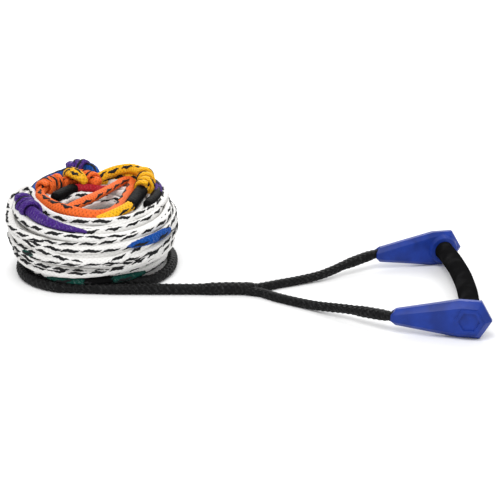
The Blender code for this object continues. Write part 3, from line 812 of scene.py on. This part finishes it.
# Each section: finish, which way its flat side faces, its width and thickness in millimetres at even
# steps along it, the solids it stands for, and its route, measured from the middle of the coil's top.
SECTIONS = {
    "orange_line": (
        "orange_rope", (0.1, -0.7, 0.7),
        [17, 15, 14, 14, 14, 15, 17, 18, 18, 17, 15, 14, 14, 14, 14, 14, 13, 13, 14, 15, 15, 15],
        [14, 13, 12, 12, 12, 13, 14, 14, 14, 12, 10, 10, 10, 10, 10, 9, 9, 9, 9, 10, 10, 10],
        ["orange_splice", "orange_eye", "orange_link"],
        [(-0.001, 0.083, 0.0145), (-0.014, 0.099, 0.015), (-0.028, 0.108, 0.014), (-0.043, 0.106, 0.012),
         (-0.057, 0.097, 0.012), (-0.069, 0.081, 0.014), (-0.079, 0.060, 0.015), (-0.085, 0.040, 0.014),
         (-0.084, 0.020, 0.012), (-0.075, 0.001, 0.011), (-0.061, -0.020, 0.010), (-0.044, -0.038, 0.010),
         (-0.022, -0.053, 0.009), (0.008, -0.063, 0.008), (0.033, -0.051, 0.008), (0.045, -0.014, 0.008),
         (0.050, 0.030, 0.008), (0.054, 0.074, 0.009), (0.052, 0.105, 0.010), (0.042, 0.103, 0.012),
         (0.0287, 0.072, 0.0125), (0.0094, 0.0262, 0.013), (-0.0102, -0.0096, 0.013),
         (-0.026, -0.033, 0.0115), (-0.037, -0.047, 0.0085)],
    ),
    "yellow_line": (
        "yellow_rope", (0.2, -0.85, 0.5),
        [15, 15, 15, 15, 15, 16, 16, 17, 17, 17, 16, 16, 16, 16, 15, 14, 10],
        [11, 11, 11, 11, 11, 11, 11, 12, 12, 12, 12, 13, 13, 13, 12, 11, 6],
        ["yellow_lower_strand", "yellow_upper_strand", "yellow_line_in_sleeve", "yellow_tail"],
        [(0.070, 0.098, 0.012), (0.053, 0.117, 0.012), (0.038, 0.124, 0.0115), (0.020, 0.122, 0.010),
         (0.004, 0.111, 0.009), (-0.005, 0.101, 0.012), (0.002, 0.103, 0.0175), (0.015, 0.113, 0.0215),
         (0.031, 0.121, 0.0245), (0.049, 0.121, 0.0265), (0.066, 0.107, 0.0265), (0.076, 0.083, 0.024),
         (0.081, 0.060, 0.021), (0.080, 0.044, 0.0185), (0.076, 0.031, 0.018), (0.069, 0.003, 0.015),
         (0.0625, -0.029, 0.0125), (0.049, -0.051, 0.0105), (0.034, -0.066, 0.0085), (0.017, -0.076, 0.006)],
    ),
    "purple_line_right": (
        "purple_rope", (0.5, -0.6, 0.6),
        [15, 15, 15, 15, 14, 12], [12, 12, 12, 11, 10, 9],
        ["purple_right_strand", "purple_line_in_sleeve"],
        [(0.070, 0.115, 0.011), (0.085, 0.096, 0.0125), (0.0965, 0.070, 0.0125), (0.0995, 0.039, 0.010),
         (0.096, 0.012, 0.009), (0.088, -0.014, 0.008)],
    ),
    "purple_line_left": (
        "purple_rope", (-0.35, -0.7, 0.6),
        [15, 17, 19, 19, 18, 17, 15, 12, 9, 5], [12, 13, 14, 14, 14, 13, 12, 10, 7, 3],
        ["purple_left_tail"],
        [(-0.119, 0.022, 0.008), (-0.112, -0.003, 0.011), (-0.099, -0.033, 0.012), (-0.086, -0.057, 0.011),
         (-0.071, -0.079, 0.009), (-0.053, -0.094, 0.006), (-0.034, -0.1035, 0.003), (-0.015, -0.107, 0.0),
         (0.003, -0.107, -0.004)],
    ),
    "blue_line_back": (
        "blue_rope", (-0.2, -0.8, 0.6),
        [13, 15, 15, 14, 14, 15, 17, 18, 15], [11, 12, 12, 11, 11, 12, 13, 13, 11],
        ["blue_back_strand", "blue_back_end"],
        [(-0.100, 0.056, 0.009), (-0.094, 0.077, 0.0115), (-0.083, 0.098, 0.014), (-0.069, 0.113, 0.017),
         (-0.055, 0.122, 0.0205), (-0.042, 0.127, 0.0245), (-0.028, 0.127, 0.0265), (-0.016, 0.124, 0.0255),
         (-0.008, 0.114, 0.0195), (-0.005, 0.104, 0.0120)],
    ),
    "red_line": (
        "red_rope", (0.0, -0.6, 0.8),
        [7, 12, 14, 13, 13, 13], [5, 9, 10, 9, 9, 9],
        ["red_inner_strand", "red_line_in_sleeve"],
        [(-0.053, 0.037, 0.0085), (-0.048, 0.050, 0.0090), (-0.038, 0.067, 0.0085), (-0.027, 0.076, 0.0075),
         (-0.012, 0.076, 0.0070), (0.006, 0.070, 0.0065), (0.022, 0.076, 0.0060)],
    ),
    "white_line_loop": (
        "white_rope", (-0.1, -0.8, 0.6),
        [10, 11, 11, 11, 11, 11, 11, 12, 12, 12, 12, 12, 12], [8, 9, 9, 9, 9, 9, 9, 9, 9, 9, 9, 9, 9],
        ["mainline_coil"],
        [(-0.020, -0.100, -0.024), (-0.058, -0.104, -0.020), (-0.090, -0.092, -0.0155),
         (-0.113, -0.066, -0.0125), (-0.126, -0.032, -0.0105), (-0.131, 0.004, -0.009),
         (-0.134, 0.030, -0.006), (-0.1325, 0.046, 0.0), (-0.125, 0.056, 0.005), (-0.1165, 0.063, 0.0085),
         (-0.108, 0.063, 0.0095), (-0.100, 0.045, 0.008), (-0.092, 0.018, 0.006), (-0.081, -0.012, 0.0055),
         (-0.062, -0.044, 0.004), (-0.040, -0.065, 0.003), (-0.002, -0.078, 0.002), (0.040, -0.074, 0.002),
         (0.078, -0.048, 0.003), (0.104, -0.008, 0.006), (0.112, 0.036, 0.009), (0.107, 0.073, 0.008),
         (0.092, 0.102, 0.005)],
    ),
    "white_line_inside": (
        "white_rope", (-0.3, -0.7, 0.6),
        [12, 13, 13, 13, 13, 12], [8, 9, 9, 9, 9, 8],
        ["mainline_coil"],
        [(-0.070, -0.006, -0.012), (-0.056, 0.022, -0.0035), (-0.038, 0.052, -0.0005),
         (-0.012, 0.062, -0.002), (0.018, 0.060, -0.005), (0.046, 0.044, -0.009), (0.060, 0.012, -0.016)],
    ),
    "white_line_below": (
        "white_rope", (-0.5, -0.5, 0.7),
        [12, 13, 13, 13, 12], [8, 9, 9, 9, 8],
        ["mainline_coil"],
        [(-0.058, -0.034, -0.020), (-0.030, -0.002, -0.0085), (0.000, 0.030, -0.007), (0.030, 0.052, -0.011),
         (0.052, 0.046, -0.022)],
    ),
}

# Stretches, as shares of a section's length, where the dark strand stays inside.
BARE_STRETCHES = {"orange_line": [(0.37, 0.50)], "purple_line_left": [(0.0, 1.0)], "red_line": [(0.0, 1.0)]}

# Wraps where one section's loop is knotted round another: finish, the solid it stands for, the thickness of
# what it is wound round, its own width and thickness, its turns and the route of its middle.
WRAPS = {
    "orange_neck_turns": ("orange_rope", "orange_neck_wrap", 0.0150, 0.0110, 0.0062, 3.9,
                          [(-0.0840, 0.046, 0.0150), (-0.0740, 0.072, 0.0155), (-0.0600, 0.093, 0.0140)]),
    "orange_back_turns": ("orange_rope", "orange_back_wrap", 0.0150, 0.0125, 0.0062, 2.7,
                          [(-0.0340, 0.110, 0.0145), (-0.0200, 0.1035, 0.0155), (-0.0060, 0.0895, 0.0150)]),
    "yellow_turns": ("yellow_rope", "yellow_wrap", 0.0185, 0.0110, 0.0056, 3.2,
                     [(0.0740, 0.088, 0.0250), (0.0810, 0.060, 0.0210), (0.0770, 0.034, 0.0180)]),
    "purple_left_turns": ("purple_rope", "purple_left_wrap", 0.0190, 0.0130, 0.0066, 2.4,
                          [(-0.1060, -0.016, 0.0120), (-0.0960, -0.037, 0.0125), (-0.0860, -0.056, 0.0115)]),
    "purple_back_turns": ("purple_rope", "purple_back_wrap", 0.0140, 0.0120, 0.0070, 2.5,
                          [(-0.0480, 0.121, 0.0240), (-0.0370, 0.126, 0.0270), (-0.0240, 0.121, 0.0270)]),
}


def section_points(route, spacing=0.0018):
    return smooth_route(on_coil(route), spacing)


def spread_along(values, count):
    """These millimetre sizes, spread evenly along the rope, in metres."""
    return np.interp(np.linspace(0, 1, count), np.linspace(0, 1, len(values)), values) / 1000


DASH_CLEAR = 0.0004  # the tracer lies on the strands, so it takes the line for this much thicker


def make_section(name):
    finish_name, faces, wides, thicks, nodes, route = SECTIONS[name]
    points = section_points(route)
    wide, thick = spread_along(wides, len(points)), spread_along(thicks, len(points))
    seed = len(name)
    lean = 0.25 * np.sin(np.linspace(0, 5, len(points)) + seed)
    outward = np.array(faces) + lean[:, None] * np.array((0.3, 0.5, 1.0))
    skin = Skin()
    tube(skin, points, outward, wide, thick, 22, relief=0.0011, lay=0.042, squareness=LINE_SQUARENESS)
    tracer(skin, points, outward, wide + 0.0006, thick + 0.0006, seed, face=0.05, swing=0.07,
           bare=BARE_STRETCHES.get(name, ()))
    piece = new_piece(name, skin.mesh(name), [finish_name, "tracer"], nodes)


def make_wrap(name):
    """Turns of line wound tightly round another stretch of line."""
    finish_name, node, core, wide, thick, turns, route = WRAPS[name]
    middle = section_points(route, 0.0004)
    forward, across, out = crossing_frame(middle, np.broadcast_to((0.0, 0.0, 1.0), middle.shape))
    share = np.linspace(0, 1, len(middle))
    turn = 2 * math.pi * turns * share[:, None] + 0.8
    loose = 1 + 0.05 * np.sin(7 * share + 1)[:, None]
    radius = (core + thick) / 2 * loose
    away = across * np.cos(turn) + out * np.sin(turn)
    points = evenly(middle + away * radius, 0.0014)
    spots = np.array([np.argmin(np.linalg.norm(middle - point, axis=1)) for point in points])
    outward = unit(points - middle[spots])
    skin = Skin()
    tube(skin, points, outward, wide, thick, 14, relief=0.0008, strands=5, lay=0.034,
         squareness=LINE_SQUARENESS)
    tracer(skin, points, outward, wide + DASH_CLEAR, thick + DASH_CLEAR, len(name), every=0.048, face=0.03,
           broad=0.0034)
    new_piece(name, skin.mesh(name), [finish_name, "tracer"], [node])


def make_crossing():
    """The end of the yellow loop that passes over the orange one."""
    points = section_points([(-0.0560, 0.112, 0.0200), (-0.0480, 0.102, 0.0265), (-0.0370, 0.089, 0.0275),
                             (-0.0265, 0.081, 0.0235), (-0.0205, 0.080, 0.0165)])
    outward = np.broadcast_to((0.3, -0.8, 0.6), points.shape)
    wide = spread_along([14, 19, 20, 18, 12], len(points))
    thick = spread_along([9, 11, 11, 10, 8], len(points))
    skin = Skin()
    tube(skin, points, outward, wide, thick, 20, relief=0.0010, squareness=LINE_SQUARENESS)
    for seed, every, long, face, broad in ((5, 0.019, 0.020, -0.06, 0.0040), (8, 0.024, 0.018, 0.09, 0.0034)):
        tracer(skin, points, outward, wide + DASH_CLEAR, thick + DASH_CLEAR, seed, every=every, long=long,
               face=face, broad=broad)
    mesh = skin.mesh("yellow_crossing")
    new_piece(mesh.name, mesh, ["yellow_rope", "tracer"], ["yellow_cross_strand"])


# Shrunk sleeves: the solid each stands for, its diameter and its route from the middle of the coil's top.
SLEEVES = {
    "yellow_line_sleeve": ("yellow_tag_sleeve", 0.0200,
                           [(0.0755, 0.031, 0.018), (0.069, 0.003, 0.015), (0.0625, -0.029, 0.0125)]),
    "purple_line_sleeve": ("purple_tag_sleeve", 0.0175,
                           [(0.0995, 0.037, 0.010), (0.096, 0.012, 0.009), (0.088, -0.014, 0.008)]),
    "red_line_sleeve": ("red_tag_sleeve", 0.0170,
                        [(-0.061, 0.022, 0.0090), (-0.050, 0.047, 0.0090), (-0.037, 0.069, 0.0090)]),
}


def make_sleeve(name):
    node, diameter, route = SLEEVES[name]
    points = section_points(route, 0.0012)
    share = np.linspace(-1, 1, len(points))
    wide = diameter * (1.03 - 0.06 * np.abs(share) ** 6)
    thick = diameter * (0.84 - 0.08 * np.abs(share) ** 6)
    outward = np.broadcast_to((0.45, -0.45, 1.0), points.shape)
    skin = Skin()
    tube(skin, points, outward, wide, thick, 36, relief=0.0004, lay=0.042)
    new_piece(name, skin.mesh(name), ["black_sleeve"], [node])


# Stretches that come out between the rows round the coil's side: finish, the solids each stands for, its
# first and last angle in degrees, its height at each, its radius, its widths in millimetres, its thickness
# and whether it is line or a sleeve over the line.
ARCS = {
    "blue_line_side": ("blue_rope", ["blue_side_section"], (-63, -22), (0.0745, 0.0775), 0.1300,
                       [3, 9, 12, 14, 15, 15, 14, 11], 0.010, "line"),
    "green_line_side": ("green_rope", ["green_side_section"], (-147, -116), (0.0570, 0.0545), 0.1262,
                        [3, 7, 10, 9, 7, 3], 0.009, "line"),
    "green_line_foot": ("green_rope", ["green_foot_section", "green_foot_end"], (-122, -42), (0.0180, 0.0180),
                        0.1130, [6, 10, 11, 11, 11, 11, 11, 10, 6], 0.010, "line"),
    "green_line_sleeve": ("black_sleeve", ["green_foot_tag_sleeve"], (-92, -70), (0.0180, 0.0180), 0.1132,
                          [11.5, 13, 13, 13, 11.5], 0.0120, "sleeve"),
}


def make_arc(name):
    finish_name, nodes, angles, heights, radius, wides, thick, kind = ARCS[name]
    turns = np.radians(np.linspace(*angles, 70))
    share = np.linspace(0, 1, len(turns))
    height = heights[0] + (heights[1] - heights[0]) * share
    swell = radius + 0.0012 * np.sin(math.pi * share)
    points = np.stack([COIL_X + swell * np.cos(turns), COIL_Y + swell * np.sin(turns), height], axis=1)
    points = evenly(points, 0.0016)
    outward = points - np.array([COIL_X, COIL_Y, 0.0])
    outward[:, 2] = 0
    wide = spread_along(wides, len(points))
    thick = np.minimum(wide, thick)
    skin = Skin()
    tube(skin, points, outward, wide, thick, 20, relief=0.0010)
    seed = len(name) + 2
    tracer(skin, points, outward, wide + DASH_CLEAR, thick + DASH_CLEAR, seed, every=0.043, face=-0.02)
    piece = new_piece(name, skin.mesh(name), [finish_name, "tracer"], nodes)


def make_sections():
    for name in SECTIONS:
        make_section(name)
    for name in WRAPS:
        make_wrap(name)
    for name in SLEEVES:
        make_sleeve(name)
    make_crossing()
    for name in ARCS:
        make_arc(name)


# ---------------------------------------------------------------- handle


def bar_line(first, last, count):
    """Points on the bowed bar's middle line, by the distance along it from the middle of the bar."""
    radius = BAR_SPAN / 2 / math.sin(SPLAY)
    half = radius * SPLAY
    points = []
    for step in range(count):
        s = first + (last - first) * step / (count - 1)
        turn = max(-SPLAY, min(SPLAY, s / radius))
        past = s - math.copysign(half, s) if abs(s) > half else 0.0
        x = BAR_X - radius * (math.cos(SPLAY) - math.cos(turn)) - abs(past) * math.sin(SPLAY)
        y = radius * math.sin(turn) + past * math.cos(SPLAY)
        points.append((x, y, BODY_Z))
    return np.array(points)


def make_grip():
    """Foam sleeve on the bar, not quite even in its surface."""
    half = BAR_SPAN / 2 / math.sin(SPLAY) * SPLAY
    points = bar_line(-half + GRIP_IN, half - GRIP_IN, 90)
    forward, across, out = crossing_frame(points, np.broadcast_to((0.0, 0.0, 1.0), (len(points), 3)))
    sides = 56
    turn = 2 * math.pi * np.arange(sides) / sides
    spread = across[:, None, :] * np.cos(turn)[None, :, None] + out[:, None, :] * np.sin(turn)[None, :, None]
    soft = 0.00012 * np.sin(points[:, 1] * 90)[:, None] * np.sin(2 * turn + 0.6)[None, :]
    outer = points[:, None, :] + spread * (GRIP_D / 2 + soft)[:, :, None]
    inner = points[:, None, :] + spread * (TUBE_D / 2 + 0.0003)
    skin = Skin()
    rings = np.concatenate([outer, inner[::-1], outer[:1]])
    skin.grid(rings, np.linspace(0, 0.6, len(rings)), capped=False)
    mesh = skin.mesh("grip_foam")
    bm = bmesh.new()
    bm.from_mesh(mesh)
    bmesh.ops.remove_doubles(bm, verts=bm.verts, dist=1e-6)
    bmesh.ops.recalc_face_normals(bm, faces=bm.faces)
    bm.to_mesh(mesh)
    bm.free()
    new_piece(mesh.name, mesh, ["black_foam"], ["foam_grip"], HANDLE)


CAP_EDGE_ROUND = 0.0006
CAP_EDGE_FROM = math.radians(14)
CAP_SHARP_FROM = math.radians(50)
CAP_FLAT_WITHIN = math.radians(2)


def make_cap(side_name):
    """The moulded cap with its edges rounded off as a mould leaves them."""
    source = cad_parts[f"end_cap_{side_name}"]
    mesh = source.data.copy()
    mesh.materials.clear()
    cap = new_piece(f"moulded_cap_{side_name}", mesh, ["moulded_blue"], [f"end_cap_{side_name}"], HANDLE)
    cap.matrix_world = source.matrix_world
    bm = bmesh.new()
    bm.from_mesh(mesh)
    bmesh.ops.remove_doubles(bm, verts=bm.verts, dist=1e-5)
    bmesh.ops.dissolve_limit(bm, angle_limit=CAP_FLAT_WITHIN, verts=bm.verts, edges=bm.edges)
    bm.to_mesh(mesh)
    bm.free()
    round_off = cap.modifiers.new("round_off", "BEVEL")
    round_off.width = CAP_EDGE_ROUND
    round_off.segments = 3
    round_off.limit_method = "ANGLE"
    round_off.angle_limit = CAP_EDGE_FROM
    mesh.shade_smooth()
    mesh.set_sharp_from_angle(angle=CAP_SHARP_FROM)


def refinish(node, finish_name):
    """A solid-model piece that keeps its shape and takes a finish."""
    mesh_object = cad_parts[node]
    for index in range(len(mesh_object.material_slots)):
        mesh_object.material_slots[index].material = finishes[finish_name]


def make_handle():
    for side_name in ("front", "rear"):
        make_cap(side_name)
        refinish(f"tube_plug_{side_name}", "black_plug")
        refinish(f"bar_eye_{side_name}", "black_rope")
    refinish("core_tube", "bare_aluminium")
    make_grip()


make_camera()
make_studio()
for side_name, side in (("front", -1), ("rear", 1)):
    make_leg(side_name, side)
make_handle_rope()
make_line()
make_sections()
make_handle()
